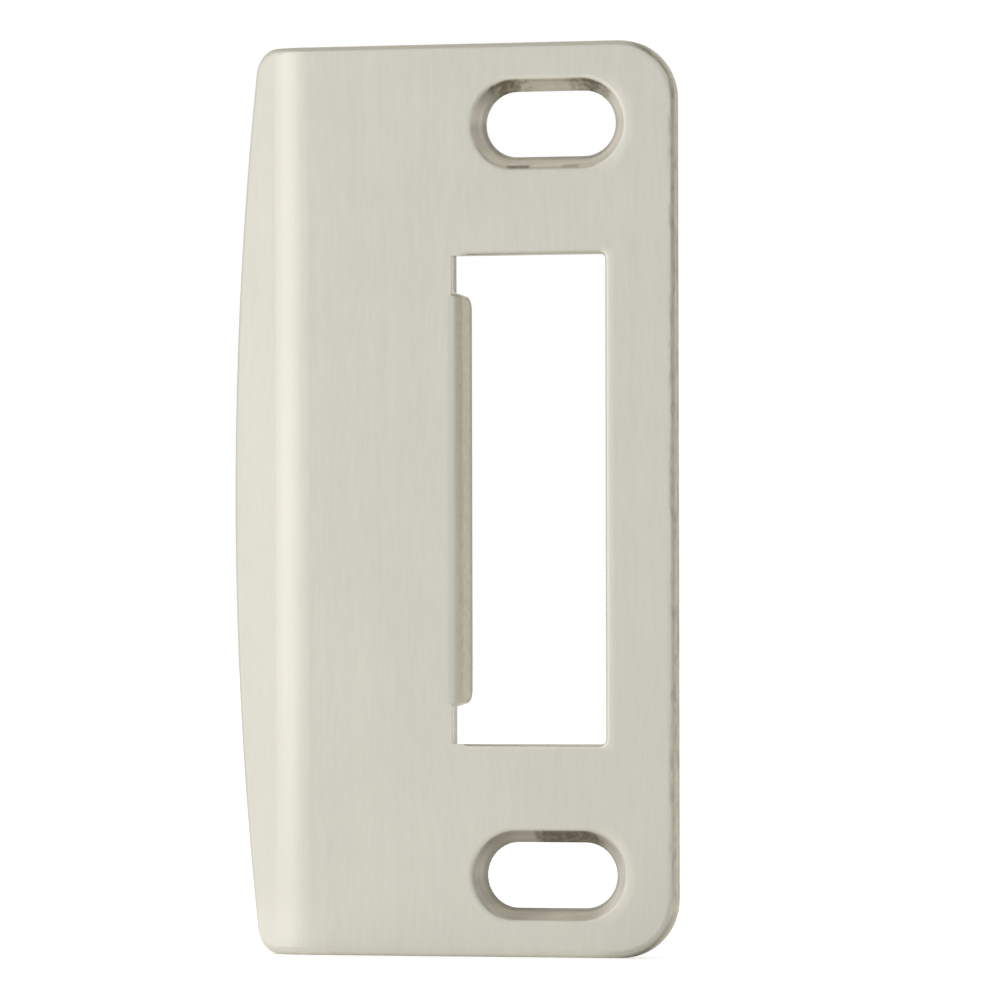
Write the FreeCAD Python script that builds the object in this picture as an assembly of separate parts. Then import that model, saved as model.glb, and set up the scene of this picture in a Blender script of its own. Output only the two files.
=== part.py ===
import FreeCAD, Part
import math
import os

# Door strike plate, millimetres.
# Frame: Z up along the plate, -Y out of the front face, +X to the plain long edge.
# The origin lies on the back face, midway between the two screw slots.

# Sheet and plate
sheet = 1.2
plate_height = 69.85
plain_edge_x = 10.15
plate_corner_radius = 4.55
front_edge_round = 0.6

# Lip: starts at the fold line and leans back past the edge of the jamb.
# Its free edge is a shallow arc, further out at mid height by the bow rise.
fold_x = -19.3
fold_outer_radius = 6.0
lip_lean_deg = 30.0
lip_bow_rise = 2.97
lip_corner_radius = 2.3
lip_corner_clearance = 0.31

# Latch opening; the end margin runs to the top or bottom of the plate.
# The punch rolls its front edges over, but hardly at all along a strip beside the tab.
opening_left_x = -7.67
opening_right_x = 4.57
opening_end_margin = 16.25
opening_corner_radius = 0.4
opening_edge_round = 0.42
opening_strip_width = 0.85
opening_strip_round = 0.12

# Tab folded back from the left side of the opening, shorter than it at both ends
tab_fold_set_back = 0.4
tab_outer_radius = 1.02
tab_inner_radius = 0.2
tab_depth = 3.25
tab_end_margin = 2.83
tab_end_draft_deg = 6.0
tab_corner_radius = 1.1
tab_end_lap = 0.1
tab_root_radius = 0.22
tab_edge_round = 0.25

# Screw slots, countersunk from the front; the end margin runs to each slot's middle
screw_end_margin = 6.25
slot_width = 5.0
slot_length = 10.4
countersink_angle_deg = 82.0
countersink_land = 0.05
countersink_edge_round = 0.5

# Overlap of the cutting tools past the faces they cut
reach = 1.0

# How closely an edge must lie to be the one that is meant
match = 0.001

X_AXIS = FreeCAD.Vector(1, 0, 0)
Y_AXIS = FreeCAD.Vector(0, 1, 0)
Z_AXIS = FreeCAD.Vector(0, 0, 1)

front_y = -sheet
half_height = plate_height / 2
lean = math.radians(lip_lean_deg)
fold_centre_y = front_y + fold_outer_radius

# The arc of the free edge meets the ends of the lip at this slope
bow_radius = (half_height ** 2 + lip_bow_rise ** 2) / (2 * lip_bow_rise)
bow_slope = math.asin(half_height / bow_radius)
corner_run = lip_corner_radius * math.tan(math.pi / 4 - bow_slope / 2)
lip_flat_length = corner_run + lip_corner_clearance + lip_bow_rise

opening_height = plate_height - 2 * opening_end_margin
half_opening = opening_height / 2
tab_fold_x = opening_left_x - tab_fold_set_back
tab_face_x = tab_fold_x + tab_outer_radius
tab_back_x = tab_face_x - sheet
half_tab = half_opening - tab_end_margin
tab_draft = math.radians(tab_end_draft_deg)
slot_end_x = (slot_length + slot_width) / 2
slot_centre_z = half_height - screw_end_margin


def vec(x, y, z=0.0):
    return FreeCAD.Vector(x, y, z)


def polar(centre, radius, angle):
    """Point at a radius and angle round a centre in the XY plane."""
    return centre + vec(math.cos(angle), math.sin(angle)) * radius


def arc(start, middle, end):
    return Part.Arc(start, middle, end).toShape()


def line(start, end):
    return Part.LineSegment(start, end).toShape()


def prism(edges, direction):
    """Solid swept straight from the closed outline made by the edges."""
    return Part.Face(Part.Wire(edges)).extrude(direction)


def bent_sheet():
    """Plate, fold and lip as one bent section, swept over the plate height."""
    centre = vec(fold_x, fold_centre_y)
    inner_radius = fold_outer_radius - sheet
    up = -math.pi / 2
    half_turn = up - lean / 2
    full_turn = up - lean
    along = vec(-math.cos(lean), math.sin(lean)) * (lip_flat_length + reach)
    front_start = polar(centre, fold_outer_radius, up)
    front_end = polar(centre, fold_outer_radius, full_turn)
    back_start = polar(centre, inner_radius, up)
    back_end = polar(centre, inner_radius, full_turn)
    front_right = vec(plain_edge_x, front_y)
    back_right = vec(plain_edge_x, 0)
    outline = [
        line(front_right, front_start),
        arc(front_start, polar(centre, fold_outer_radius, half_turn), front_end),
        line(front_end, front_end + along),
        line(front_end + along, back_end + along),
        line(back_end + along, back_end),
        arc(back_end, polar(centre, inner_radius, half_turn), back_start),
        line(back_start, back_right),
        line(back_right, front_right),
    ]
    section = prism(outline, Z_AXIS * plate_height)
    section.translate(-Z_AXIS * half_height)
    return section


def bow_lip(body):
    """Trim the free edge of the lip to a shallow arc, furthest out at mid height."""
    centre = vec(fold_x, fold_centre_y)
    fold_end = polar(centre, fold_outer_radius, -math.pi / 2 - lean)
    along = vec(-math.cos(lean), math.sin(lean))
    through = vec(math.sin(lean), math.cos(lean))
    bow_centre = fold_end + along * (lip_flat_length - bow_radius)
    start = bow_centre - through * plate_height
    drum = Part.makeCylinder(bow_radius, 2 * plate_height, start, through)
    return body.common(drum)


def is_corner(edge):
    """True for an edge that goes through the sheet at the top or bottom of the plate."""
    box = edge.BoundBox
    level = box.ZLength < match
    at_end = abs(abs(box.Center.z) - half_height) < match
    return level and at_end and abs(edge.Length - sheet) < match


def round_corners(body):
    """Round the four corners of the outline through the sheet."""
    plain = [e for e in body.Edges if is_corner(e) and e.BoundBox.XMin > fold_x]
    body = body.makeFillet(plate_corner_radius, plain)
    free = [e for e in body.Edges if is_corner(e) and e.BoundBox.XMax < fold_x]
    return body.makeFillet(lip_corner_radius, free)


def on_front(point):
    """True if a point lies on the plate front, the outside of the fold or the lip front."""
    across = point.x - fold_x
    deep = point.y - fold_centre_y
    lip_start = -fold_outer_radius * math.sin(lean)
    off_lip = across * math.sin(lean) + deep * math.cos(lean) + fold_outer_radius
    off_fold = math.hypot(across, deep) - fold_outer_radius
    flat = across > -match and abs(point.y - front_y) < match
    fold = across < match and abs(off_fold) < match
    lip = across < lip_start + match and abs(off_lip) < match
    return flat or fold or lip


def is_fold_line(edge):
    """True for the straight lines where the fold meets the flats."""
    box = edge.BoundBox
    return box.ZLength > plate_height - match and box.XMax < plain_edge_x - match


def front_outline(body):
    """Edges round the outside of the front surface, plate, fold and lip alike."""
    chosen = []
    for edge in body.Edges:
        start, end = edge.ParameterRange
        points = [edge.valueAt(t) for t in (start, (start + end) / 2, end)]
        if all(on_front(p) for p in points) and not is_fold_line(edge):
            chosen.append(edge)
    return chosen


def opening_block(left_x, right_x):
    """Block through the plate over the full height of the opening."""
    corner = vec(left_x, front_y - reach, -half_opening)
    return Part.makeBox(right_x - left_x, sheet + 2 * reach, opening_height, corner)


def opening_cutter():
    """The opening without the strip beside the tab, with rounded corners."""
    block = opening_block(opening_left_x + opening_strip_width, opening_right_x)
    posts = [e for e in block.Edges if e.BoundBox.YLength > sheet]
    return block.makeFillet(opening_corner_radius, posts)


def slot_cutter(height):
    """Obround throat with an obround countersink opening to the front."""
    half_angle = math.radians(countersink_angle_deg / 2)
    depth = sheet - countersink_land
    throat = slot_width / 2
    mouth = throat + (depth + reach) * math.tan(half_angle)
    offset = slot_length / 2 - throat
    cone_y = front_y - reach
    cutter = None
    for side in (-1, 1):
        base = vec(side * offset, cone_y, height)
        cone = Part.makeCone(mouth, throat, depth + reach, base, Y_AXIS)
        drill = Part.makeCylinder(throat, sheet + 2 * reach, base, Y_AXIS)
        end = cone.fuse(drill)
        cutter = end if cutter is None else cutter.fuse(end)
    land_y = cone_y + depth + reach
    outline = [
        vec(-offset, cone_y, -mouth),
        vec(-offset, cone_y, mouth),
        vec(-offset, land_y, throat),
        vec(-offset, land_y, -throat),
        vec(-offset, cone_y, -mouth),
    ]
    wedge = Part.Face(Part.makePolygon(outline)).extrude(X_AXIS * 2 * offset)
    wedge.translate(Z_AXIS * height)
    corner = vec(-offset, cone_y, height - throat)
    channel = Part.makeBox(2 * offset, sheet + 2 * reach, slot_width, corner)
    return cutter.fuse(wedge).fuse(channel).removeSplitter()


def tab_section():
    """Fold of the tab in the XY plane, from inside the plate to its free edge.

    The outside of the fold is pressed tighter than the sheet is thick.
    """
    outer_centre = vec(tab_fold_x, front_y + tab_outer_radius)
    inner_centre = vec(tab_back_x - tab_inner_radius, tab_inner_radius)
    free_y = front_y + tab_depth
    root = vec(tab_fold_x, front_y)
    outer_end = polar(outer_centre, tab_outer_radius, 0)
    inner_end = polar(inner_centre, tab_inner_radius, 0)
    inner_start = polar(inner_centre, tab_inner_radius, -math.pi / 2)
    in_plate = vec(inner_start.x, front_y)
    return [
        line(in_plate, root),
        arc(root, polar(outer_centre, tab_outer_radius, -math.pi / 4), outer_end),
        line(outer_end, vec(tab_face_x, free_y)),
        line(vec(tab_face_x, free_y), vec(tab_back_x, free_y)),
        line(vec(tab_back_x, free_y), inner_end),
        arc(inner_end, polar(inner_centre, tab_inner_radius, -math.pi / 4), inner_start),
        line(inner_start, in_plate),
    ]


def tab_outline():
    """Side view of the tab in the YZ plane: drafted ends and rounded free corners."""
    back = front_y + tab_depth
    turn_y = back - tab_corner_radius
    turn_z = half_tab - (turn_y - front_y) * math.tan(tab_draft)
    elbow = tab_corner_radius * math.sin(math.pi / 4)
    centre_z = turn_z - tab_corner_radius
    ends = []
    for side in (1, -1):
        root = vec(0, front_y, side * half_tab)
        turn = vec(0, turn_y, side * turn_z)
        middle = vec(0, turn_y + elbow, side * (centre_z + elbow))
        corner = vec(0, back, side * centre_z)
        ends.append((root, turn, middle, corner))
    top, bottom = ends
    return [
        line(top[0], top[1]),
        arc(top[1], top[2], top[3]),
        line(top[3], bottom[3]),
        arc(bottom[3], bottom[2], bottom[1]),
        line(bottom[1], bottom[0]),
        line(bottom[0], top[0]),
    ]


def is_tab_rim(edge):
    """True for the edges round the flat face of the tab that looks into the opening."""
    box = edge.BoundBox
    on_face = abs(box.XMin - tab_face_x) < match and abs(box.XMax - tab_face_x) < match
    return on_face and box.YMax > front_y + tab_outer_radius + match


def folded_tab():
    """Tab with its fold, cut to its side view, with the rim of its outer face rounded."""
    tall = 2 * (half_tab + reach)
    fold = prism(tab_section(), Z_AXIS * tall)
    fold.translate(-Z_AXIS * (tall / 2))
    side_view = prism(tab_outline(), X_AXIS * (tab_outer_radius + 2 * reach))
    side_view.translate(X_AXIS * (tab_fold_x - reach))
    tab = fold.common(side_view)
    rim = [e for e in tab.Edges if is_tab_rim(e)]
    return tab.makeFillet(tab_edge_round, rim)


def tab_clearance():
    """Room taken from the plate where the tab leaves it, closed by the drafted tab ends."""
    height = 2 * (half_tab - sheet * math.tan(tab_draft) - tab_end_lap)
    corner = vec(tab_fold_x, front_y - reach, -height / 2)
    return Part.makeBox(tab_fold_set_back + reach, sheet + 2 * reach, height, corner)


def is_tab_root(edge):
    """True for the inner corners where the ends of the tab meet the plate."""
    box = edge.BoundBox
    on_wall = abs(box.XMin - opening_left_x) < match and abs(box.XMax - opening_left_x) < match
    at_end = abs(abs(box.Center.z) - half_tab) < tab_root_radius
    return on_wall and at_end and box.YLength > tab_root_radius


def round_hole_edges(body, radius, x_low, x_high, z_low, z_high):
    """Round the edges on the front face that lie inside a window in X and Z."""
    chosen = []
    for edge in body.Edges:
        box = edge.BoundBox
        flat = abs(box.YMin - front_y) < match and abs(box.YMax - front_y) < match
        across = box.XMin > x_low - match and box.XMax < x_high + match
        upright = box.ZMin > z_low - match and box.ZMax < z_high + match
        if flat and across and upright:
            chosen.append(edge)
    return body.makeFillet(radius, chosen)


plate = round_corners(bow_lip(bent_sheet()))
plate = plate.makeFillet(front_edge_round, front_outline(plate))

plate = plate.cut(opening_cutter())
plate = round_hole_edges(
    plate,
    opening_edge_round,
    opening_left_x,
    opening_right_x,
    -half_opening,
    half_opening,
)
plate = plate.cut(opening_block(opening_left_x, (opening_left_x + opening_right_x) / 2))
plate = round_hole_edges(
    plate,
    opening_strip_round,
    opening_left_x,
    opening_left_x,
    -half_opening,
    half_opening,
)

for slot_z in (slot_centre_z, -slot_centre_z):
    plate = plate.cut(slot_cutter(slot_z))
    plate = round_hole_edges(
        plate,
        countersink_edge_round,
        -slot_end_x,
        slot_end_x,
        slot_z - slot_width,
        slot_z + slot_width,
    )

plate = plate.cut(tab_clearance())
plate = plate.fuse(folded_tab())
plate = plate.removeSplitter()
plate = plate.makeFillet(tab_root_radius, [e for e in plate.Edges if is_tab_root(e)])

os.makedirs("parts", exist_ok=True)
plate.exportStep("parts/strike_plate.step")
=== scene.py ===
import math

import bpy
import numpy as np
from mathutils import Matrix, Vector


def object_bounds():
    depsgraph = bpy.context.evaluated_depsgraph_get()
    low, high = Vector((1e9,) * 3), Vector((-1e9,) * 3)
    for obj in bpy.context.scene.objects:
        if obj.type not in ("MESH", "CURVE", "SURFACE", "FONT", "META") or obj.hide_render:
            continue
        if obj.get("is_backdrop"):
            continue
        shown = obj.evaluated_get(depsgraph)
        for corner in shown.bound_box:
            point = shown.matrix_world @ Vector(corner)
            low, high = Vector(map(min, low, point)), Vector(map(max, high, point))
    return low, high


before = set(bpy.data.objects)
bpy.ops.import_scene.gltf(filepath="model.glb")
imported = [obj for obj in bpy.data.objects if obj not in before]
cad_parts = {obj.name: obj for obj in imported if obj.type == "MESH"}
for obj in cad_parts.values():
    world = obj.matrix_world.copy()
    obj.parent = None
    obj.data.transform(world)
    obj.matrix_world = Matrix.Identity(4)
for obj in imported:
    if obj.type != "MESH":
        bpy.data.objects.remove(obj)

bl_info = {
    "name": "Door Strike Plate",
    "version": (1, 0, 0),
    "blender": (4, 5, 0),
    "location": "View3D > Sidebar > Strike Plate",
    "description": "Finish and studio for a door strike plate in brushed satin nickel",
    "category": "Object",
}

PLATE = "strike_plate"
MM = 0.001


def linear_from_hex(code):
    """Turn an sRGB hex colour such as '#D7D4C6' into linear red, green, blue and alpha."""
    parts = [int(code[i : i + 2], 16) / 255 for i in (1, 3, 5)]
    linear = [c / 12.92 if c <= 0.04045 else ((c + 0.055) / 1.055) ** 2.4 for c in parts]
    return (*linear, 1.0)


def add_node(tree, kind, fields=None, values=None, links=None):
    """Add a node, set its fields and the values of its inputs, and link its inputs."""
    node = tree.nodes.new(kind)
    for name, value in (fields or {}).items():
        setattr(node, name, value)
    for key, value in (values or {}).items():
        node.inputs[key].default_value = value
    for key, socket in (links or {}).items():
        tree.links.new(socket, node.inputs[key])
    return node


def colour_property(name, description, code):
    return bpy.props.FloatVectorProperty(
        name=name,
        description=description,
        subtype="COLOR",
        size=4,
        min=0.0,
        max=1.0,
        default=linear_from_hex(code),
    )


def length_property(name, description, millimetres):
    return bpy.props.FloatProperty(
        name=name,
        description=description,
        default=millimetres * MM,
        min=0.0,
        precision=5,
        subtype="DISTANCE",
        unit="LENGTH",
    )


def angle_property(name, description, degrees):
    return bpy.props.FloatProperty(
        name=name,
        description=description,
        default=math.radians(degrees),
        subtype="ANGLE",
        unit="ROTATION",
    )


class StrikeFinish(bpy.types.PropertyGroup):
    """Colours and grain of the plated steel"""

    face_colour: colour_property("Face", "Brushed front of the plate and lip", "#C6C4B9")
    wall_colour: colour_property("Walls", "Sheared walls and the folded tab", "#C8C1AF")
    sink_colour: colour_property("Countersinks", "Pressed walls of the countersinks", "#D4CEC1")
    back_colour: colour_property("Back", "Unbrushed back of the sheet", "#C4C1B3")
    # Colour of the dark patches in the countersinks, and of the painted shade round their throats
    # and under the upper one's top edge
    dark_patch_and_shade_colour: colour_property("Residue", "Dark plating residue in the countersinks", "#6B6455")
    grain_width: length_property("Grain width", "Width of one brushed line", 0.28)
    grain_length: length_property("Grain length", "Length of one brushed line", 2.2)
    band_width: length_property("Band width", "Width of the broader brushed bands", 0.9)
    band_length: length_property("Band length", "Length of the broader brushed bands", 30.0)
    cloud_size: length_property("Cloud size", "Size of the soft light and dark areas", 9.0)
    ring_width: length_property("Ring width", "Width of one line round a screw slot", 0.22)
    ring_length: length_property("Ring length", "Length of one line round a screw slot", 3.0)
    groove_depth: length_property("Groove depth", "Depth of the brushed lines", 0.002)
    edge_width: length_property("Edge width", "Width of the polished line along edges", 0.15)


class StrikeStudio(bpy.types.PropertyGroup):
    """Camera, lamps and floor"""

    camera_turn: angle_property("Camera turn", "Turn of the camera towards the plain edge", 18.5)
    camera_pitch: angle_property("Camera pitch", "Upward pitch of the camera", 0.7)
    camera_roll: angle_property("Camera roll", "Roll of the camera", -0.12)
    floor_colour: colour_property("Floor", "Plain pale floor", "#F4F4F2")
    side_card_colour: colour_property("Side card", "Grey card at the plain side", "#A2A29F")
    top_card_colour: colour_property("Top card", "Pale card overhead", "#F4F4F2")
    dark_card_colour: colour_property("Dark card", "Grey card overhead at the side", "#888884")
    floor_card_colour: colour_property("Floor card", "Pale card on the floor", "#D8D8D4")
    lamp_turn: angle_property("Lamp turn", "Turn of the soft box to the lip side", 60.0)
    lamp_distance: length_property("Lamp distance", "From the plate to the soft box", 140.0)
    lamp_width: length_property("Lamp width", "Width of the soft box", 95.0)
    lamp_height: length_property("Lamp height", "Height of the soft box", 190.0)


# Screw slots in millimetres: half the straight part, height above or below the plate's middle
SLOT_STRAIGHT = 2.7
SLOT_HEIGHT = 28.675


def slot_distance(tree, across, upright):
    """Distance in millimetres from the middle line of the nearer screw slot.

    The middle line is a level segment over the slot's straight part, so the distance is the
    length of what is left over once the segment is taken off.
    """
    along = add_node(
        tree, "ShaderNodeMath", {"operation": "ABSOLUTE"}, links={0: across}
    )
    past = add_node(
        tree, "ShaderNodeMath", {"operation": "SUBTRACT"}, {1: SLOT_STRAIGHT}, {0: along.outputs[0]}
    )
    past = add_node(
        tree, "ShaderNodeMath", {"operation": "MAXIMUM"}, {1: 0.0}, {0: past.outputs[0]}
    )
    level = add_node(tree, "ShaderNodeMath", {"operation": "ABSOLUTE"}, links={0: upright})
    off = add_node(
        tree, "ShaderNodeMath", {"operation": "SUBTRACT"}, {1: SLOT_HEIGHT}, {0: level.outputs[0]}
    )
    pair = add_node(
        tree, "ShaderNodeCombineXYZ", links={0: past.outputs[0], 1: off.outputs[0]}
    )
    length = add_node(
        tree, "ShaderNodeVectorMath", {"operation": "LENGTH"}, links={0: pair.outputs[0]}
    )
    return length.outputs["Value"]


def brushed_satin_nickel(finish):
    """Satin nickel on mild steel, brushed lengthwise on the face.

    The sheet is brushed with a belt along its height, stamped, folded and nickel plated.
    The brushing spreads reflections sideways into one soft band and leaves fine upright lines.
    The sheared walls and countersinks are not brushed: they are duller and a little warmer.
    """
    material = bpy.data.materials.new("satin_nickel_brushed_steel")
    material.use_nodes = True
    tree = material.node_tree
    tree.nodes.clear()

    place = add_node(tree, "ShaderNodeTexCoord").outputs["Object"]
    millimetres = add_node(
        tree, "ShaderNodeVectorMath", {"operation": "SCALE"}, {"Scale": 1 / MM}, {0: place}
    ).outputs[0]
    parts = add_node(tree, "ShaderNodeSeparateXYZ", links={0: millimetres})
    facing = add_node(tree, "ShaderNodeNewGeometry").outputs["Normal"]
    normal_parts = add_node(tree, "ShaderNodeSeparateXYZ", links={0: facing})
    outward = normal_parts.outputs["Y"]

    # Where the surface is: 1 on the brushed face, 1 on the back, 1 in the countersinks
    face = add_node(
        tree,
        "ShaderNodeMapRange",
        {"interpolation_type": "SMOOTHSTEP"},
        {"From Min": -0.35, "From Max": -0.8, "To Min": 0.0, "To Max": 1.0},
        {"Value": outward},
    ).outputs[0]
    back = add_node(
        tree,
        "ShaderNodeMapRange",
        {"interpolation_type": "SMOOTHSTEP"},
        {"From Min": 0.4, "From Max": 0.8, "To Min": 0.0, "To Max": 1.0},
        {"Value": outward},
    ).outputs[0]
    distance = slot_distance(tree, parts.outputs["X"], parts.outputs["Z"])
    ring = add_node(
        tree,
        "ShaderNodeMapRange",
        {"interpolation_type": "SMOOTHSTEP"},
        {"From Min": 3.55, "From Max": 3.3, "To Min": 0.0, "To Max": 1.0},
        {"Value": distance},
    ).outputs[0]
    not_back = add_node(
        tree, "ShaderNodeMath", {"operation": "SUBTRACT"}, {0: 1.0}, {1: back}
    ).outputs[0]
    sink = add_node(
        tree, "ShaderNodeMath", {"operation": "MULTIPLY"}, links={0: ring, 1: not_back}
    ).outputs[0]
    not_sink = add_node(
        tree, "ShaderNodeMath", {"operation": "SUBTRACT"}, {0: 1.0}, {1: sink}
    ).outputs[0]
    brushed = add_node(
        tree, "ShaderNodeMath", {"operation": "MULTIPLY"}, links={0: face, 1: not_sink}
    ).outputs[0]
    lined = add_node(
        tree, "ShaderNodeMath", {"operation": "MAXIMUM"}, links={0: brushed, 1: back}
    ).outputs[0]

    # Punched walls of the opening, without the tab, and painted shade on them: 1 at the back half of
    # their depth, less in the lower half
    sideways = parts.outputs["X"]
    level = add_node(
        tree, "ShaderNodeMath", {"operation": "ABSOLUTE"}, links={0: parts.outputs["Z"]}
    ).outputs[0]
    beyond_tab = add_node(
        tree,
        "ShaderNodeMapRange",
        values={"From Min": 15.7, "From Max": 15.9},
        links={"Value": level},
    ).outputs[0]
    right_side = add_node(
        tree,
        "ShaderNodeMapRange",
        values={"From Min": 3.9, "From Max": 4.1},
        links={"Value": sideways},
    ).outputs[0]
    punched = add_node(
        tree, "ShaderNodeMath", {"operation": "MAXIMUM"}, links={0: beyond_tab, 1: right_side}
    ).outputs[0]
    for socket, low, high in ((level, 20.0, 19.5), (sideways, 7.0, 6.5), (sideways, -9.5, -9.0)):
        inside = add_node(
            tree,
            "ShaderNodeMapRange",
            values={"From Min": low, "From Max": high},
            links={"Value": socket},
        ).outputs[0]
        punched = add_node(
            tree, "ShaderNodeMath", {"operation": "MULTIPLY"}, links={0: punched, 1: inside}
        ).outputs[0]
    punched = add_node(
        tree, "ShaderNodeMath", {"operation": "MULTIPLY"}, links={0: punched, 1: not_back}
    ).outputs[0]
    deep = add_node(
        tree,
        "ShaderNodeMapRange",
        values={"From Min": -1.0, "From Max": -0.25, "To Min": 0.0, "To Max": 1.0},
        links={"Value": parts.outputs["Y"]},
    ).outputs[0]
    painted_deep_wall_shade = add_node(
        tree, "ShaderNodeMath", {"operation": "MULTIPLY"}, links={0: punched, 1: deep}
    ).outputs[0]
    upper = add_node(
        tree,
        "ShaderNodeMapRange",
        {"interpolation_type": "SMOOTHSTEP"},
        {"From Min": -14.0, "From Max": 14.0, "To Min": 0.0, "To Max": 1.0},
        {"Value": parts.outputs["Z"]},
    ).outputs[0]
    painted_shade_by_half = add_node(
        tree,
        "ShaderNodeMapRange",
        values={"To Min": 0.2, "To Max": 1.0},
        links={"Value": upper},
    ).outputs[0]
    painted_deep_wall_shade = add_node(
        tree, "ShaderNodeMath", {"operation": "MULTIPLY"}, links={0: painted_deep_wall_shade, 1: painted_shade_by_half}
    ).outputs[0]
    # Upright walls beside the tab: 1 there
    beside_tab = add_node(
        tree,
        "ShaderNodeMapRange",
        values={"From Min": -6.4, "From Max": -6.6},
        links={"Value": sideways},
    ).outputs[0]
    beside_tab = add_node(
        tree, "ShaderNodeMath", {"operation": "MULTIPLY"}, links={0: punched, 1: beside_tab}
    ).outputs[0]

    # Brushed lines. A real belt leaves lines of about 0.05 mm, too fine to show here,
    # so they are drawn three to four times as wide.
    line_place = add_node(
        tree,
        "ShaderNodeVectorMath",
        {"operation": "DIVIDE"},
        {1: Vector((finish.grain_width, finish.grain_width, finish.grain_length)) / MM},
        {0: millimetres},
    ).outputs[0]
    lines = add_node(
        tree,
        "ShaderNodeTexNoise",
        {"noise_dimensions": "3D"},
        {"Scale": 1.0, "Detail": 2.0, "Roughness": 0.55},
        {"Vector": line_place},
    ).outputs[0]
    band_place = add_node(
        tree,
        "ShaderNodeVectorMath",
        {"operation": "DIVIDE"},
        {1: Vector((finish.band_width, finish.band_width, finish.band_length)) / MM},
        {0: millimetres},
    ).outputs[0]
    bands = add_node(
        tree,
        "ShaderNodeTexNoise",
        {"noise_dimensions": "3D"},
        {"Scale": 1.0, "Detail": 1.0, "Roughness": 0.5},
        {"Vector": band_place},
    ).outputs[0]
    grain = add_node(
        tree,
        "ShaderNodeMix",
        {"data_type": "FLOAT"},
        {"Factor": 0.3},
        {"A": lines, "B": bands},
    ).outputs[0]

    # Soft clouds from the plating bath
    cloud_place = add_node(
        tree,
        "ShaderNodeVectorMath",
        {"operation": "SCALE"},
        {"Scale": MM / finish.cloud_size},
        {0: millimetres},
    ).outputs[0]
    clouds = add_node(
        tree,
        "ShaderNodeTexNoise",
        {"noise_dimensions": "3D"},
        {"Scale": 1.0, "Detail": 3.0, "Roughness": 0.5},
        {"Vector": cloud_place},
    ).outputs[0]

    # Shear and coining marks on the unbrushed walls, a fine mottle of about 0.3 mm
    mottle = add_node(
        tree,
        "ShaderNodeTexNoise",
        {"noise_dimensions": "3D"},
        {"Scale": 2.2, "Detail": 4.0, "Roughness": 0.6},
        {"Vector": millimetres},
    ).outputs[0]

    # Pressing the countersinks leaves fine lines that run round the slot
    ring_place = add_node(
        tree,
        "ShaderNodeCombineXYZ",
        links={0: distance, 1: parts.outputs["X"], 2: parts.outputs["Z"]},
    ).outputs[0]
    ring_place = add_node(
        tree,
        "ShaderNodeVectorMath",
        {"operation": "DIVIDE"},
        {1: Vector((finish.ring_width, finish.ring_length, finish.ring_length)) / MM},
        {0: ring_place},
    ).outputs[0]
    ring_lines = add_node(
        tree,
        "ShaderNodeTexNoise",
        {"noise_dimensions": "3D"},
        {"Scale": 1.0, "Detail": 2.0, "Roughness": 0.5},
        {"Vector": ring_place},
    ).outputs[0]
    wall_marks = add_node(
        tree,
        "ShaderNodeMix",
        {"data_type": "FLOAT"},
        links={"Factor": sink, "A": mottle, "B": ring_lines},
    ).outputs[0]

    # Colour: face, walls or back, then grain, clouds and mottle, and painted light and shade, as
    # small changes of value
    tone = add_node(
        tree,
        "ShaderNodeMix",
        {"data_type": "RGBA"},
        {"A": finish.wall_colour, "B": finish.back_colour},
        {"Factor": back},
    ).outputs["Result"]
    tone = add_node(
        tree,
        "ShaderNodeMix",
        {"data_type": "RGBA"},
        {"B": finish.sink_colour},
        {"Factor": sink, "A": tone},
    ).outputs["Result"]
    underside = add_node(
        tree,
        "ShaderNodeMapRange",
        values={"From Min": -34.2, "From Max": -34.5},
        links={"Value": parts.outputs["Z"]},
    ).outputs[0]
    plated = add_node(
        tree, "ShaderNodeMath", {"operation": "MAXIMUM"}, links={0: brushed, 1: beside_tab}
    ).outputs[0]
    plated = add_node(
        tree, "ShaderNodeMath", {"operation": "MAXIMUM"}, links={0: plated, 1: underside}
    ).outputs[0]
    tone = add_node(
        tree,
        "ShaderNodeMix",
        {"data_type": "RGBA"},
        {"B": finish.face_colour},
        {"Factor": plated, "A": tone},
    ).outputs["Result"]
    grain_value = add_node(
        tree,
        "ShaderNodeMapRange",
        {"clamp": False},
        {"From Min": 0.3, "From Max": 0.7, "To Min": 0.968, "To Max": 1.032},
        {"Value": grain},
    ).outputs[0]
    cloud_value = add_node(
        tree,
        "ShaderNodeMapRange",
        {"clamp": False},
        {"From Min": 0.3, "From Max": 0.7, "To Min": 0.985, "To Max": 1.015},
        {"Value": clouds},
    ).outputs[0]
    marks_and_painted_shade = add_node(
        tree,
        "ShaderNodeMapRange",
        {"clamp": False},
        {"From Min": 0.3, "From Max": 0.7, "To Min": 0.9, "To Max": 1.08},
        {"Value": wall_marks},
    ).outputs[0]
    # Painted shade on the back half of the punched walls
    painted_wall_shade_value = add_node(
        tree,
        "ShaderNodeMath",
        {"operation": "MULTIPLY_ADD"},
        {1: -0.26, 2: 1.0},
        {0: painted_deep_wall_shade},
    ).outputs[0]
    marks_and_painted_shade = add_node(
        tree, "ShaderNodeMath", {"operation": "MULTIPLY"}, links={0: marks_and_painted_shade, 1: painted_wall_shade_value}
    ).outputs[0]
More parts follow.
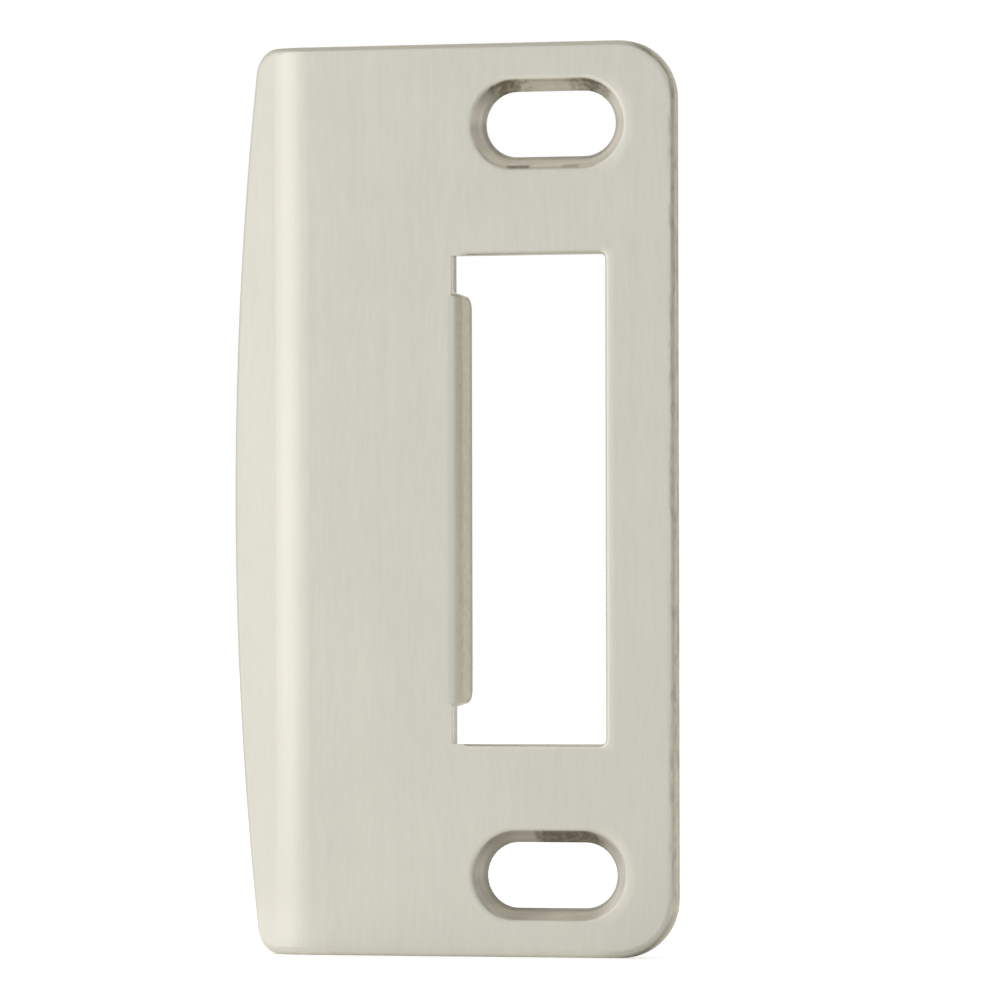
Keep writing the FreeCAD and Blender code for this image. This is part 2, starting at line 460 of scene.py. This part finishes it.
    # Painted shade on the countersinks, set by the way each wall faces: darker at their upper left
    # and right, and the lower one at its left
    leftward = add_node(
        tree, "ShaderNodeMath", {"operation": "MINIMUM"}, {1: 0.0}, {0: normal_parts.outputs["X"]}
    ).outputs[0]
    rightward = add_node(
        tree, "ShaderNodeMath", {"operation": "MAXIMUM"}, {1: 0.0}, {0: normal_parts.outputs["X"]}
    ).outputs[0]
    sink_shade_slope = add_node(
        tree, "ShaderNodeMath", {"operation": "MULTIPLY_ADD"}, {1: 0.95, 2: 0.1}, {0: rightward}
    ).outputs[0]
    painted_sink_shade = add_node(
        tree,
        "ShaderNodeMath",
        {"operation": "MULTIPLY_ADD"},
        {2: 1.03},
        {0: sink_shade_slope, 1: normal_parts.outputs["Z"]},
    ).outputs[0]
    lower_left_shade = add_node(
        tree,
        "ShaderNodeMapRange",
        {"interpolation_type": "SMOOTHSTEP"},
        {"From Min": 1.5, "From Max": -2.5, "To Min": 1.0, "To Max": 0.8},
        {"Value": sideways},
    ).outputs[0]
    lower_left_shade = add_node(
        tree, "ShaderNodeMath", {"operation": "MAXIMUM"}, links={0: lower_left_shade, 1: upper}
    ).outputs[0]
    painted_sink_shade = add_node(
        tree, "ShaderNodeMath", {"operation": "MULTIPLY"}, links={0: painted_sink_shade, 1: lower_left_shade}
    ).outputs[0]
    painted_sink_shade = add_node(
        tree,
        "ShaderNodeMix",
        {"data_type": "FLOAT"},
        {"A": 1.0},
        {"Factor": sink, "B": painted_sink_shade},
    ).outputs[0]
    marks_and_painted_shade = add_node(
        tree, "ShaderNodeMath", {"operation": "MULTIPLY"}, links={0: marks_and_painted_shade, 1: painted_sink_shade}
    ).outputs[0]
    # Painted shade on the rounded edge round each countersink, where it faces the lip side
    painted_rim_shade = add_node(
        tree,
        "ShaderNodeMapRange",
        {"interpolation_type": "SMOOTHSTEP"},
        {"From Min": 3.85, "From Max": 3.45, "To Min": 0.0, "To Max": 0.24},
        {"Value": distance},
    ).outputs[0]
    painted_rim_shade = add_node(
        tree, "ShaderNodeMath", {"operation": "MULTIPLY"}, links={0: painted_rim_shade, 1: not_back}
    ).outputs[0]
    painted_rim_shade_value = add_node(
        tree, "ShaderNodeMath", {"operation": "MULTIPLY_ADD"}, {2: 1.0}, {0: leftward, 1: painted_rim_shade}
    ).outputs[0]
    texture_value = add_node(
        tree,
        "ShaderNodeMix",
        {"data_type": "FLOAT"},
        links={"Factor": lined, "A": marks_and_painted_shade, "B": grain_value},
    ).outputs[0]
    value = add_node(
        tree, "ShaderNodeMath", {"operation": "MULTIPLY"}, links={0: texture_value, 1: cloud_value}
    ).outputs[0]
    value = add_node(
        tree, "ShaderNodeMath", {"operation": "MULTIPLY"}, links={0: value, 1: painted_rim_shade_value}
    ).outputs[0]
    # Painted light and shade on the opening's edges: darker where they face down and lighter where
    # they face up
    tilt_light_and_shade = add_node(
        tree,
        "ShaderNodeMapRange",
        values={"From Min": -0.55, "From Max": 0.55, "To Min": -0.18, "To Max": 0.18},
        links={"Value": normal_parts.outputs["Z"]},
    ).outputs[0]
    tilt_light_and_shade = add_node(
        tree, "ShaderNodeMath", {"operation": "MULTIPLY_ADD"}, {2: 1.0}, {0: tilt_light_and_shade, 1: punched}
    ).outputs[0]
    value = add_node(
        tree, "ShaderNodeMath", {"operation": "MULTIPLY"}, links={0: value, 1: tilt_light_and_shade}
    ).outputs[0]
    # Marks of about 0.5 mm by 2 mm along the sheared wall of the plain edge
    nick_place = add_node(
        tree,
        "ShaderNodeVectorMath",
        {"operation": "DIVIDE"},
        {1: Vector((0.5, 0.5, 2.0))},
        {0: millimetres},
    ).outputs[0]
    nicks = add_node(
        tree,
        "ShaderNodeTexNoise",
        {"noise_dimensions": "3D"},
        {"Scale": 1.0, "Detail": 2.0, "Roughness": 0.6},
        {"Vector": nick_place},
    ).outputs[0]
    # Painted light and shade along the edges. Each row is a strength, and the ramps from 0 to 1 that
    # hold it in
    # place: a socket, where its ramp starts and where it is full.
    to_right = normal_parts.outputs["X"]
    to_top = normal_parts.outputs["Z"]
    depth = parts.outputs["Y"]
    height = parts.outputs["Z"]
    for strength, ramps in (
        # painted highlight on the front of the upright walls beside the tab
        (0.5, ((beside_tab, 0.0, 1.0), (to_right, 0.0, 1.0), (depth, -0.7, -1.15))),
        # painted light on the rounded bottom edge
        (0.08, ((height, -30.0, -30.6), (to_top, -0.05, -0.2), (outward, 0.6, 0.2))),
        (0.1, ((height, -34.6, -34.85), (to_top, -0.6, -0.85), (outward, 0.6, 0.2))),
        # and on the lip and its fold towards it
        (0.1, ((height, -30.0, -34.5), (sideways, -17.0, -21.0), (outward, 0.6, 0.2))),
        # the lower plain corner: painted light where its round starts, painted shade further out
        (
            0.12,
            (
                (height, -30.4, -31.0),
                (to_right, 0.03, 0.1),
                (to_top, -0.03, -0.1),
                (outward, -0.7, -0.9),
            ),
        ),
        (
            -0.25,
            (
                (height, -30.4, -31.0),
                (to_right, 0.15, 0.35),
                (to_top, -0.15, -0.35),
                (outward, -0.88, -0.65),
                (outward, 0.6, 0.2),
            ),
        ),
        # the upper one: painted light where its round starts, painted shade towards the top
        (
            0.55,
            (
                (height, 30.0, 30.6),
                (sideways, 8.1, 8.8),
                (to_top, 0.1, 0.25),
                (outward, -0.91, -0.81),
                (outward, -0.5, -0.75),
            ),
        ),
        (
            -0.3,
            (
                (height, 30.0, 30.6),
                (sideways, 8.5, 7.9),
                (to_right, 0.1, 0.3),
                (to_top, 0.4, 0.65),
                (outward, 0.6, 0.2),
            ),
        ),
        # painted highlight on the face beside the opening, where the punch rolled it over
        (
            0.12,
            (
                (sideways, 5.45, 5.0),
                (sideways, 4.2, 4.4),
                (level, 19.2, 18.8),
                (to_right, -0.4, 0.0),
                (outward, 0.6, 0.2),
            ),
        ),
        # painted highlight at the plain side of the countersinks, and painted shade low round their
        # throats
        (
            0.14,
            (
                (distance, 4.45, 3.75),
                (sideways, 4.0, 6.0),
                (to_right, -0.35, 0.0),
                (outward, 0.6, 0.2),
            ),
        ),
        (-0.14, ((sink, 0.0, 1.0), (distance, 2.85, 2.65), (to_top, 0.3, 0.6))),
        # painted light on the tab's fold, and a little painted shade on its face
        (
            0.2,
            (
                (to_right, 0.2, 0.7),
                (to_right, 1.0, 0.75),
                (sideways, -8.3, -8.1),
                (sideways, -6.8, -6.95),
                (level, 15.95, 15.8),
            ),
        ),
        (
            -0.06,
            (
                (to_right, 0.85, 1.0),
                (sideways, -8.3, -8.1),
                (sideways, -6.8, -6.95),
                (level, 15.95, 15.8),
            ),
        ),
        # the plain edge: brighter where it is rounded, duller where it is sheared, with nicks
        (0.1, ((sideways, 9.55, 9.75), (depth, -0.45, -0.75))),
        (-0.07, ((sideways, 9.9, 10.1), (depth, -0.7, -0.5))),
        (-0.2, ((sideways, 9.6, 9.8), (nicks, 0.5, 0.62), (outward, 0.6, 0.2))),
    ):
        for socket, start, full in ramps:
            strength_here = add_node(
                tree,
                "ShaderNodeMapRange",
                values={"From Min": start, "From Max": full},
                links={"Value": socket},
            ).outputs[0]
            if (socket, start, full) == ramps[0]:
                shade = strength_here
            else:
                shade = add_node(
                    tree,
                    "ShaderNodeMath",
                    {"operation": "MULTIPLY"},
                    links={0: shade, 1: strength_here},
                ).outputs[0]
        shade = add_node(
            tree,
            "ShaderNodeMath",
            {"operation": "MULTIPLY_ADD"},
            {1: strength, 2: 1.0},
            {0: shade},
        ).outputs[0]
        value = add_node(
            tree, "ShaderNodeMath", {"operation": "MULTIPLY"}, links={0: value, 1: shade}
        ).outputs[0]
    # A dull line follows the sheared outline of the tab
    past_depth = add_node(
        tree, "ShaderNodeMath", {"operation": "SUBTRACT"}, {1: 0.95}, {0: parts.outputs["Y"]}
    ).outputs[0]
    past_height = add_node(
        tree, "ShaderNodeMath", {"operation": "SUBTRACT"}, {1: 15.0}, {0: level}
    ).outputs[0]
    pair = add_node(
        tree, "ShaderNodeCombineXYZ", links={0: past_depth, 1: past_height}
    ).outputs[0]
    pair = add_node(
        tree, "ShaderNodeVectorMath", {"operation": "MAXIMUM"}, links={0: pair}
    ).outputs[0]
    pair = add_node(
        tree, "ShaderNodeVectorMath", {"operation": "LENGTH"}, links={0: pair}
    ).outputs["Value"]
    dull = add_node(
        tree,
        "ShaderNodeMapRange",
        values={"From Min": 0.2, "From Max": 0.38, "To Min": 0.0, "To Max": 0.19},
        links={"Value": pair},
    ).outputs[0]
    for socket, low, high in (
        (parts.outputs["Y"], 0.15, 0.4),
        (sideways, -5.8, -6.0),
        (sideways, -8.8, -8.6),
    ):
        inside = add_node(
            tree,
            "ShaderNodeMapRange",
            values={"From Min": low, "From Max": high},
            links={"Value": socket},
        ).outputs[0]
        dull = add_node(
            tree, "ShaderNodeMath", {"operation": "MULTIPLY"}, links={0: dull, 1: inside}
        ).outputs[0]
    dull = add_node(
        tree, "ShaderNodeMath", {"operation": "SUBTRACT"}, {0: 1.0}, {1: dull}
    ).outputs[0]
    value = add_node(
        tree, "ShaderNodeMath", {"operation": "MULTIPLY"}, links={0: value, 1: dull}
    ).outputs[0]
    tone = add_node(
        tree, "ShaderNodeVectorMath", {"operation": "SCALE"}, links={0: tone, "Scale": value}
    ).outputs[0]

    # Dark patches under the upper edge of each slot, on walls that face down: near both ends of the
    # upper slot, and to the right of the middle in the lower one. Painted shade adds a line low
    # round the throats and one under the top edge of the upper slot.
    speckle = add_node(
        tree,
        "ShaderNodeTexNoise",
        {"noise_dimensions": "3D"},
        {"Scale": 1.6, "Detail": 4.0, "Roughness": 0.65},
        {"Vector": millimetres},
    ).outputs[0]
    from_middle = add_node(
        tree, "ShaderNodeMath", {"operation": "ABSOLUTE"}, links={0: sideways}
    ).outputs[0]
    reaches = []
    for socket, centre, half_width, slope in (
        (from_middle, 3.4, 0.9, 0.6),
        (sideways, 1.6, 2.4, 1.2),
    ):
        off = add_node(
            tree, "ShaderNodeMath", {"operation": "SUBTRACT"}, {1: centre}, {0: socket}
        ).outputs[0]
        off = add_node(tree, "ShaderNodeMath", {"operation": "ABSOLUTE"}, links={0: off}).outputs[0]
        reaches.append(
            add_node(
                tree,
                "ShaderNodeMath",
                {"operation": "MULTIPLY_ADD"},
                {1: slope, 2: -slope * half_width},
                {0: off},
            ).outputs[0]
        )
    past_end = add_node(
        tree,
        "ShaderNodeMix",
        {"data_type": "FLOAT"},
        links={"Factor": upper, "A": reaches[1], "B": reaches[0]},
    ).outputs[0]
    spread = add_node(
        tree,
        "ShaderNodeMath",
        {"operation": "MULTIPLY_ADD"},
        {1: -2.6},
        {0: speckle, 2: past_end},
    ).outputs[0]
    patches_plus_shade = add_node(
        tree,
        "ShaderNodeMapRange",
        {"interpolation_type": "SMOOTHSTEP"},
        {"From Min": -0.4, "From Max": -1.9, "To Min": 0.3, "To Max": 0.97},
        {"Value": spread},
    ).outputs[0]
    downward = add_node(
        tree,
        "ShaderNodeMapRange",
        {"interpolation_type": "SMOOTHSTEP"},
        {"From Min": -0.3, "From Max": -0.65, "To Min": 0.0, "To Max": 1.0},
        {"Value": normal_parts.outputs["Z"]},
    ).outputs[0]
    patches_plus_shade = add_node(
        tree, "ShaderNodeMath", {"operation": "MULTIPLY"}, links={0: patches_plus_shade, 1: downward}
    ).outputs[0]
    # Painted shade low round the throats of both countersinks
    painted_throat_shade = add_node(
        tree,
        "ShaderNodeMapRange",
        {"interpolation_type": "SMOOTHSTEP"},
        {"From Min": 2.82, "From Max": 2.66, "To Min": 0.0, "To Max": 0.3},
        {"Value": distance},
    ).outputs[0]
    patches_plus_shade = add_node(
        tree, "ShaderNodeMath", {"operation": "MAXIMUM"}, links={0: patches_plus_shade, 1: painted_throat_shade}
    ).outputs[0]
    # Two scuffs low on the upper countersink: middle and half length in X, and strength
    below = add_node(
        tree,
        "ShaderNodeMapRange",
        values={"From Min": SLOT_HEIGHT - 2.6, "From Max": SLOT_HEIGHT - 2.8},
        links={"Value": parts.outputs["Z"]},
    ).outputs[0]
    off_line = add_node(
        tree, "ShaderNodeMath", {"operation": "SUBTRACT"}, {1: 3.33}, {0: distance}
    ).outputs[0]
    off_line = add_node(
        tree, "ShaderNodeMath", {"operation": "ABSOLUTE"}, links={0: off_line}
    ).outputs[0]
    on_line = add_node(
        tree,
        "ShaderNodeMapRange",
        values={"From Min": 0.2, "From Max": 0.1},
        links={"Value": off_line},
    ).outputs[0]
    on_line = add_node(
        tree, "ShaderNodeMath", {"operation": "MULTIPLY"}, links={0: on_line, 1: upper}
    ).outputs[0]
    # Painted shade: a thin line under the top edge of the upper countersink, on walls that face down
    painted_rim_line_shade = add_node(
        tree, "ShaderNodeMath", {"operation": "MULTIPLY"}, links={0: on_line, 1: downward}
    ).outputs[0]
    patches_plus_shade = add_node(
        tree, "ShaderNodeMath", {"operation": "MULTIPLY_ADD"}, {1: 0.18}, {0: painted_rim_line_shade, 2: patches_plus_shade}
    ).outputs[0]
    on_line = add_node(
        tree, "ShaderNodeMath", {"operation": "MULTIPLY"}, links={0: on_line, 1: below}
    ).outputs[0]
    for middle, half_length, strength in ((-2.35, 0.85, 0.65), (1.85, 0.6, 0.35)):
        off = add_node(
            tree, "ShaderNodeMath", {"operation": "SUBTRACT"}, {1: middle}, {0: sideways}
        ).outputs[0]
        off = add_node(tree, "ShaderNodeMath", {"operation": "ABSOLUTE"}, links={0: off}).outputs[0]
        scuff = add_node(
            tree,
            "ShaderNodeMapRange",
            values={
                "From Min": half_length + 0.2,
                "From Max": half_length - 0.1,
                "To Min": 0.0,
                "To Max": strength,
            },
            links={"Value": off},
        ).outputs[0]
        scuff = add_node(
            tree, "ShaderNodeMath", {"operation": "MULTIPLY"}, links={0: scuff, 1: on_line}
        ).outputs[0]
        patches_plus_shade = add_node(
            tree, "ShaderNodeMath", {"operation": "MAXIMUM"}, links={0: patches_plus_shade, 1: scuff}
        ).outputs[0]
    thin = add_node(
        tree,
        "ShaderNodeMapRange",
        values={"From Min": 0.35, "From Max": 0.6, "To Min": 0.8, "To Max": 1.05},
        links={"Value": mottle},
    ).outputs[0]
    patches_plus_shade = add_node(
        tree,
        "ShaderNodeMath",
        {"operation": "MULTIPLY", "use_clamp": True},
        links={0: patches_plus_shade, 1: thin},
    ).outputs[0]
    dark_patch_and_shade_mask = add_node(
        tree, "ShaderNodeMath", {"operation": "MULTIPLY"}, links={0: patches_plus_shade, 1: sink}
    ).outputs[0]
    tone = add_node(
        tree,
        "ShaderNodeMix",
        {"data_type": "RGBA"},
        {"B": finish.dark_patch_and_shade_colour},
        {"Factor": dark_patch_and_shade_mask, "A": tone},
    ).outputs["Result"]

    # Edges: handling and the belt leave a thin line a little brighter and smoother
    rounded = add_node(
        tree,
        "ShaderNodeBevel",
        {"samples": 4},
        {"Radius": finish.edge_width},
    ).outputs[0]
    agree = add_node(
        tree, "ShaderNodeVectorMath", {"operation": "DOT_PRODUCT"}, links={0: rounded, 1: facing}
    ).outputs["Value"]
    edge = add_node(
        tree,
        "ShaderNodeMapRange",
        {"interpolation_type": "SMOOTHSTEP"},
        {"From Min": 0.995, "From Max": 0.9, "To Min": 0.0, "To Max": 1.0},
        {"Value": agree},
    ).outputs[0]
    gleam = add_node(
        tree,
        "ShaderNodeMath",
        {"operation": "MULTIPLY_ADD"},
        {1: 0.02, 2: 1.0},
        {0: edge},
    ).outputs[0]
    tone = add_node(
        tree, "ShaderNodeVectorMath", {"operation": "SCALE"}, links={0: tone, "Scale": gleam}
    ).outputs[0]

    # Roughness: satin on the face, duller on the walls, smoother along edges
    rough = add_node(
        tree,
        "ShaderNodeMapRange",
        {"clamp": False},
        {"From Min": 0.0, "From Max": 1.0, "To Min": 0.46, "To Max": 0.36},
        {"Value": brushed},
    ).outputs[0]
    rough_grain = add_node(
        tree,
        "ShaderNodeMapRange",
        {"clamp": False},
        {"From Min": 0.3, "From Max": 0.7, "To Min": -0.035, "To Max": 0.035},
        {"Value": grain},
    ).outputs[0]
    rough = add_node(
        tree, "ShaderNodeMath", {"operation": "ADD"}, links={0: rough, 1: rough_grain}
    ).outputs[0]
    rough = add_node(
        tree,
        "ShaderNodeMath",
        {"operation": "MULTIPLY_ADD", "use_clamp": True},
        {1: -0.03},
        {0: edge, 2: rough},
    ).outputs[0]

    # Relief: upright grooves on the face, mottle on the walls
    relief = add_node(
        tree,
        "ShaderNodeMix",
        {"data_type": "FLOAT"},
        links={"Factor": lined, "A": wall_marks, "B": lines},
    ).outputs[0]
    bump = add_node(
        tree,
        "ShaderNodeBump",
        values={"Strength": 1.0, "Distance": finish.groove_depth},
        links={"Height": relief},
    ).outputs[0]

    # The tangent is nearly upright, a little off it so that no wall lies square to it
    upright = add_node(
        tree, "ShaderNodeCombineXYZ", values={0: 0.05, 1: 0.03, 2: 1.0}
    ).outputs[0]
    shader = add_node(
        tree,
        "ShaderNodeBsdfPrincipled",
        values={"Metallic": 1.0, "Anisotropic": 0.65, "Anisotropic Rotation": 0.25},
        links={"Base Color": tone, "Roughness": rough, "Normal": bump, "Tangent": upright},
    )
    add_node(
        tree, "ShaderNodeOutputMaterial", links={"Surface": shader.outputs[0]}
    )
    return material


def flat_surface(name, grid, material):
    """Mesh of a grid of points, given as an array of rows, columns and X, Y, Z."""
    rows, columns = grid.shape[:2]
    index = np.arange(rows * columns).reshape(rows, columns)
    quads = np.stack(
        [index[:-1, :-1], index[:-1, 1:], index[1:, 1:], index[1:, :-1]], axis=-1
    ).reshape(-1, 4)
    mesh = bpy.data.meshes.new(name)
    mesh.from_pydata(grid.reshape(-1, 3).tolist(), [], quads.tolist())
    mesh.materials.append(material)
    surface = bpy.data.objects.new(name, mesh)
    bpy.context.scene.collection.objects.link(surface)
    surface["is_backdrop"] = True
    return surface


def level_grid(left, right, front, back, height):
    """Level rectangle: X runs from left to right, Y from front to back, Z is the height."""
    x, y = np.meshgrid([left, right], [front, back])
    return np.stack([x, y, np.full_like(x, height)], axis=-1)


def curved_grid(radius, start, end, low, high, cells):
    """Upright part of a drum round the plate.

    X is the radius times the sine of the turn, Y is minus the radius times its cosine, and Z runs
    from low to high; the turn is 0 in front of the plate and grows towards the plain edge.
    """
    turn, z = np.meshgrid(np.linspace(start, end, cells + 1), np.linspace(low, high, 2))
    return np.stack([radius * np.sin(turn), -radius * np.cos(turn), z], axis=-1)


def matt_paint(name, colour, lift):
    """Matt paint. The lift is the light it adds where the camera, metal or glass looks at it."""
    material = bpy.data.materials.new(name)
    material.use_nodes = True
    tree = material.node_tree
    tree.nodes.clear()
    paint = add_node(tree, "ShaderNodeBsdfDiffuse", values={"Color": colour})
    ray = add_node(tree, "ShaderNodeLightPath")
    seen = add_node(
        tree,
        "ShaderNodeMath",
        {"operation": "MAXIMUM"},
        links={0: ray.outputs["Is Camera Ray"], 1: ray.outputs["Is Glossy Ray"]},
    )
    seen = add_node(
        tree,
        "ShaderNodeMath",
        {"operation": "MAXIMUM"},
        links={0: seen.outputs[0], 1: ray.outputs["Is Transmission Ray"]},
    )
    strength = add_node(
        tree, "ShaderNodeMath", {"operation": "MULTIPLY"}, {1: lift}, {0: seen.outputs[0]}
    )
    glow = add_node(
        tree, "ShaderNodeEmission", links={"Strength": strength.outputs[0]}
    )
    both = add_node(
        tree, "ShaderNodeAddShader", links={0: paint.outputs[0], 1: glow.outputs[0]}
    )
    add_node(tree, "ShaderNodeOutputMaterial", links={"Surface": both.outputs[0]})
    return material


def feather(material, start, end):
    """Let a card's paint fade in along X, from nothing at the start to full at the end."""
    tree = material.node_tree
    place = add_node(tree, "ShaderNodeTexCoord").outputs["Object"]
    along = add_node(tree, "ShaderNodeSeparateXYZ", links={0: place}).outputs["X"]
    cover = add_node(
        tree,
        "ShaderNodeMapRange",
        {"interpolation_type": "SMOOTHSTEP"},
        {"From Min": start, "From Max": end},
        {"Value": along},
    ).outputs[0]
    clear = add_node(tree, "ShaderNodeBsdfTransparent").outputs[0]
    output = next(node for node in tree.nodes if node.type == "OUTPUT_MATERIAL")
    paint = output.inputs["Surface"].links[0].from_socket
    mix = add_node(tree, "ShaderNodeMixShader", links={0: cover, 1: clear, 2: paint})
    tree.links.new(mix.outputs[0], output.inputs["Surface"])


def soft_box(name, turn, distance, foot, width, height, watts):
    """Upright soft box that stands on the floor at a turn and faces the plate."""
    lamp = bpy.data.lights.new(name, "AREA")
    lamp.shape = "RECTANGLE"
    lamp.size = width
    lamp.size_y = height
    lamp.energy = watts
    holder = bpy.data.objects.new(name, lamp)
    away = Vector((math.sin(turn), -math.cos(turn), 0.0))
    holder.location = away * distance + Vector((0.0, 0.0, foot + height / 2))
    holder.rotation_euler = away.to_track_quat("Z", "Y").to_euler()
    holder.visible_camera = False
    bpy.context.scene.collection.objects.link(holder)
    return holder


class STRIKE_OT_finish_plate(bpy.types.Operator):
    """Give the plate its brushed satin nickel finish"""

    bl_idname = "strike.finish_plate"
    bl_label = "Finish Plate"

    def execute(self, context):
        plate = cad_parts[PLATE]
        material = brushed_satin_nickel(context.scene.strike_finish)
        for slot in plate.material_slots:
            slot.material = material
        return {"FINISHED"}


class STRIKE_OT_build_studio(bpy.types.Operator):
    """Set up the floor, cards, lamps, world and camera"""

    bl_idname = "strike.build_studio"
    bl_label = "Build Studio"

    def execute(self, context):
        studio = context.scene.strike_studio
        low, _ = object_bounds()

        floor_paint = matt_paint("pale_floor_paint", studio.floor_colour, 0.25)
        flat_surface("floor", level_grid(-3.0, 3.0, -3.0, 3.0, low.z), floor_paint)

        wall = curved_grid(0.95, math.radians(45), math.radians(120), low.z, 0.7, 24)
        ceiling = level_grid(-0.6, 0.12, -0.6, 0.6, 0.7)
        ceiling_side = level_grid(0.12, 0.95, -0.6, 0.3, 0.7)
        ground = level_grid(0.003, 0.3, -0.3, 0.0, low.z + 0.05 * MM)
        ground_lip = level_grid(-0.15, -0.03, -0.035, 0.005, low.z + 0.05 * MM)
        for name, grid, colour, lift in (
            ("grey_card_side", wall, studio.side_card_colour, 0.0),
            ("pale_card_top", ceiling, studio.top_card_colour, 0.0),
            ("dark_card_top", ceiling_side, studio.dark_card_colour, 0.0),
            ("pale_card_floor", ground, studio.floor_card_colour, 0.0),
            ("white_card_floor", ground_lip, studio.floor_colour, 0.6),
        ):
            card = flat_surface(name, grid, matt_paint(name + "_paint", colour, lift))
            card.visible_camera = False
            card.visible_diffuse = False
            card.visible_shadow = False
            if grid is ground:
                feather(card.active_material, 0.003, 0.008)

        soft_box(
            "soft_box",
            -studio.lamp_turn,
            studio.lamp_distance,
            low.z,
            studio.lamp_width,
            studio.lamp_height,
            0.044,
        )

        world = bpy.data.worlds.new("white_studio")
        world.use_nodes = True
        world.node_tree.nodes.clear()
        sky = add_node(
            world.node_tree,
            "ShaderNodeBackground",
            values={"Color": linear_from_hex("#FFFFFF"), "Strength": 1.0},
        )
        add_node(world.node_tree, "ShaderNodeOutputWorld", links={0: sky.outputs[0]})
        context.scene.world = world

        # The camera stands 678 mm away, a little below the plate's middle, and looks at it
        # from the plain edge's side; 319 mm on a 36 mm sensor is the photograph's framing.
        lens = bpy.data.cameras.new("camera")
        lens.sensor_width = 36.0
        lens.lens = 319.04
        camera = bpy.data.objects.new("camera", lens)
        turned = (
            Matrix.Rotation(studio.camera_turn, 4, "Z")
            @ Matrix.Rotation(math.pi / 2 + studio.camera_pitch, 4, "X")
            @ Matrix.Rotation(studio.camera_roll, 4, "Z")
        )
        camera.matrix_world = Matrix.Translation((0.21134, -0.64416, -0.0084)) @ turned
        context.scene.collection.objects.link(camera)
        context.scene.camera = camera
        context.scene.view_settings.view_transform = "Standard"
        return {"FINISHED"}


class STRIKE_PT_panel(bpy.types.Panel):
    bl_label = "Strike Plate"
    bl_idname = "STRIKE_PT_panel"
    bl_space_type = "VIEW_3D"
    bl_region_type = "UI"
    bl_category = "Strike Plate"

    def draw(self, context):
        layout = self.layout
        for group, action in (
            (context.scene.strike_finish, "strike.finish_plate"),
            (context.scene.strike_studio, "strike.build_studio"),
        ):
            box = layout.box()
            for name in group.__annotations__:
                box.prop(group, name)
            box.operator(action)


CLASSES = (
    StrikeFinish,
    StrikeStudio,
    STRIKE_OT_finish_plate,
    STRIKE_OT_build_studio,
    STRIKE_PT_panel,
)


def register():
    for item in CLASSES:
        bpy.utils.register_class(item)
    bpy.types.Scene.strike_finish = bpy.props.PointerProperty(type=StrikeFinish)
    bpy.types.Scene.strike_studio = bpy.props.PointerProperty(type=StrikeStudio)


def unregister():
    del bpy.types.Scene.strike_studio
    del bpy.types.Scene.strike_finish
    for item in reversed(CLASSES):
        bpy.utils.unregister_class(item)


def main():
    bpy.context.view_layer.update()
    register()
    bpy.ops.strike.finish_plate()
    bpy.ops.strike.build_studio()


if __name__ == "__main__":
    main()
